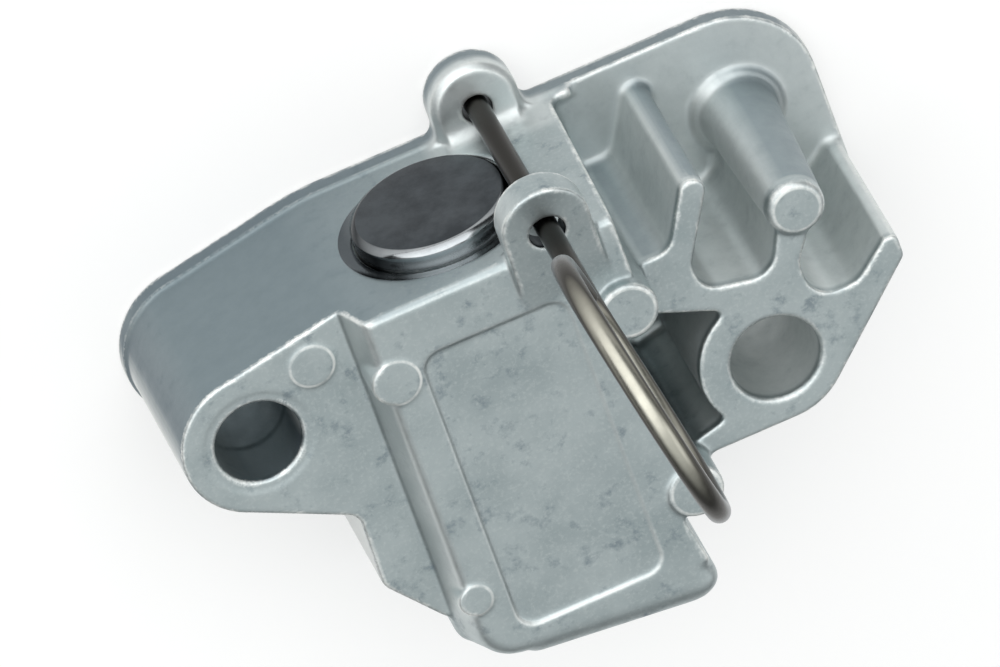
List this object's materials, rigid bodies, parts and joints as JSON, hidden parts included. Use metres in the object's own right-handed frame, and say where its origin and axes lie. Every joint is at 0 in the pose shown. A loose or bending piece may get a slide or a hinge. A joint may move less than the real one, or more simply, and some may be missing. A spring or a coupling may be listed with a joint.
{
  "type": "timing chain tensioner",
  "caption": "Die-cast hydraulic timing chain tensioner with a sprung plunger, a check valve inside and a wire retaining pin with a pull ring.",
  "frame": {"origin": "axis of the left bolt hole on the flat mounting face", "axes": "+X along the housing towards the right bolt, +Y the way the plunger pushes, +Z away from the engine, out of the mounting face"},
  "size_m": [0.0547, 0.0472, 0.0565],
  "materials": {
    "cast_aluminium": "die-cast, satin",
    "dark_steel": "hardened and ground",
    "bright_steel": "bright",
    "spring_wire": "drawn wire",
    "nylon": "moulded"
  },
  "bodies": {
    "body": {"housing": "cast_aluminium", "valve_seat": "bright_steel", "ball_cage": "bright_steel", "plunger_spring": "bright_steel", "ball_spring": "bright_steel"},
    "plunger": {"plunger": "dark_steel", "volume_insert": "nylon"},
    "ball": {"check_ball": "bright_steel"},
    "pin": {"retaining_pin": "spring_wire"}
  },
  "joints": [
    {"name": "plunger_slide", "type": "slide", "parent": "body", "child": "plunger", "axis": [0, 1, 0], "range_m": [-0.0013, 0], "stiffness_N_per_m": 1000, "deforming": ["plunger_spring"]},
    {"name": "ball_lift", "type": "slide", "parent": "body", "child": "ball", "axis": [0, 1, 0], "range_m": [0, 0.0008], "stiffness_N_per_m": 20, "deforming": ["ball_spring"]},
    {"name": "pin_pull", "type": "slide", "parent": "body", "child": "pin", "axis": [0, 0, 1], "range_m": [0, 0.03]}
  ]
}
